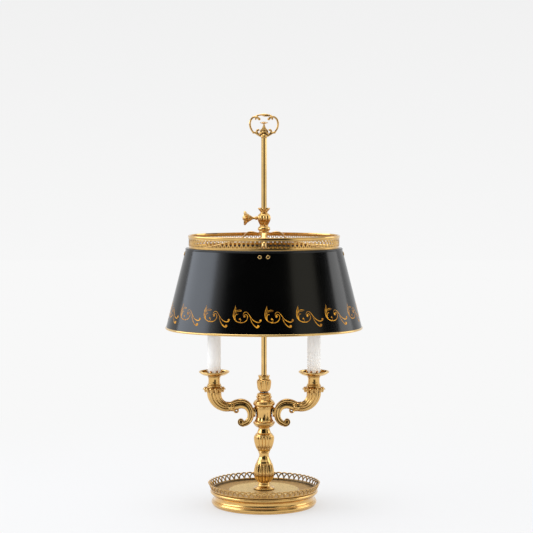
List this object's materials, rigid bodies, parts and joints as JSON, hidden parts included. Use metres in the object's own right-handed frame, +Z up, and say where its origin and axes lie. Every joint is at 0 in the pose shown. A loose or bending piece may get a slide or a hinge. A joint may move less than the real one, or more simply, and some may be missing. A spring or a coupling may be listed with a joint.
{
  "type": "bouillotte lamp",
  "caption": "Brass table lamp with candle lights on scroll arms, a round galleried foot and an oval black shade that slides and turns on a central rod.",
  "frame": {"origin": "middle of the foot's underside, on the table", "axes": "+Z up along the rod, +X to the right-hand candle, -Y to the front"},
  "size_m": [0.3354, 0.2604, 0.66],
  "materials": {
    "cast_brass": "cast, polished and antiqued",
    "bright_brass": "polished and lacquered",
    "black_tole": "satin black enamel on sheet steel",
    "ivory_sleeve": "plain candle cover",
    "felt": "wool felt",
    "black_plastic": "moulded phenolic",
    "plated_steel": "zinc plated",
    "bulb_glass": "clear"
  },
  "bodies": {
    "stand": {"foot_casting": "cast_brass", "tray_plate": "cast_brass", "foot_felt": "felt", "cord_bushing": "black_plastic", "foot_gallery": "bright_brass", "stem_pipe": "plated_steel", "stem_washer": "plated_steel", "stem_nut": "plated_steel", "foot_vase": "cast_brass", "knop_ring": "bright_brass", "middle_vase": "cast_brass", "arm_hub": "cast_brass", "top_vase": "cast_brass", "rod_coupling": "plated_steel", "rod": "bright_brass", "ring_handle": "bright_brass", "arm_left": "cast_brass", "arm_right": "cast_brass", "arm_screw_left": "plated_steel", "arm_screw_right": "plated_steel", "leaf_ring_left": "bright_brass", "leaf_ring_right": "bright_brass", "candle_cup_left": "cast_brass", "candle_cup_right": "cast_brass", "drip_pan_left": "bright_brass", "drip_pan_right": "bright_brass", "nipple_left": "plated_steel", "nipple_right": "plated_steel", "socket_left": "black_plastic", "socket_right": "black_plastic", "socket_shell_left": "bright_brass", "socket_shell_right": "bright_brass", "candle_sleeve_left": "ivory_sleeve", "candle_sleeve_right": "ivory_sleeve", "bulb_cap_left": "bright_brass", "bulb_cap_right": "bright_brass", "bulb_left": "bulb_glass", "bulb_right": "bulb_glass"},
    "collar": {"slider_collar": "cast_brass", "spider_clip": "cast_brass"},
    "shade": {"spider_hub": "cast_brass", "spider": "cast_brass", "spider_rivets": "bright_brass", "shade_body": "black_tole", "shade_bead": "bright_brass", "shade_gallery": "bright_brass", "gallery_foot": "bright_brass", "gallery_roll": "bright_brass"},
    "thumbscrew": {"thumbscrew": "cast_brass"}
  },
  "joints": [
    {"name": "shade_height", "type": "slide", "parent": "stand", "child": "collar", "axis": [0, 0, 1], "range_m": [-0.015, 0.108]},
    {"name": "shade_turn", "type": "hinge", "parent": "collar", "child": "shade", "pos_m": [0, 0, 0.4575], "axis": [0, 0, 1], "continuous": true},
    {"name": "screw_turn", "type": "hinge", "parent": "collar", "child": "thumbscrew", "pos_m": [-0.02, 0, 0.48572], "axis": [-1, 0, 0], "range_deg": [0, 720]}
  ]
}
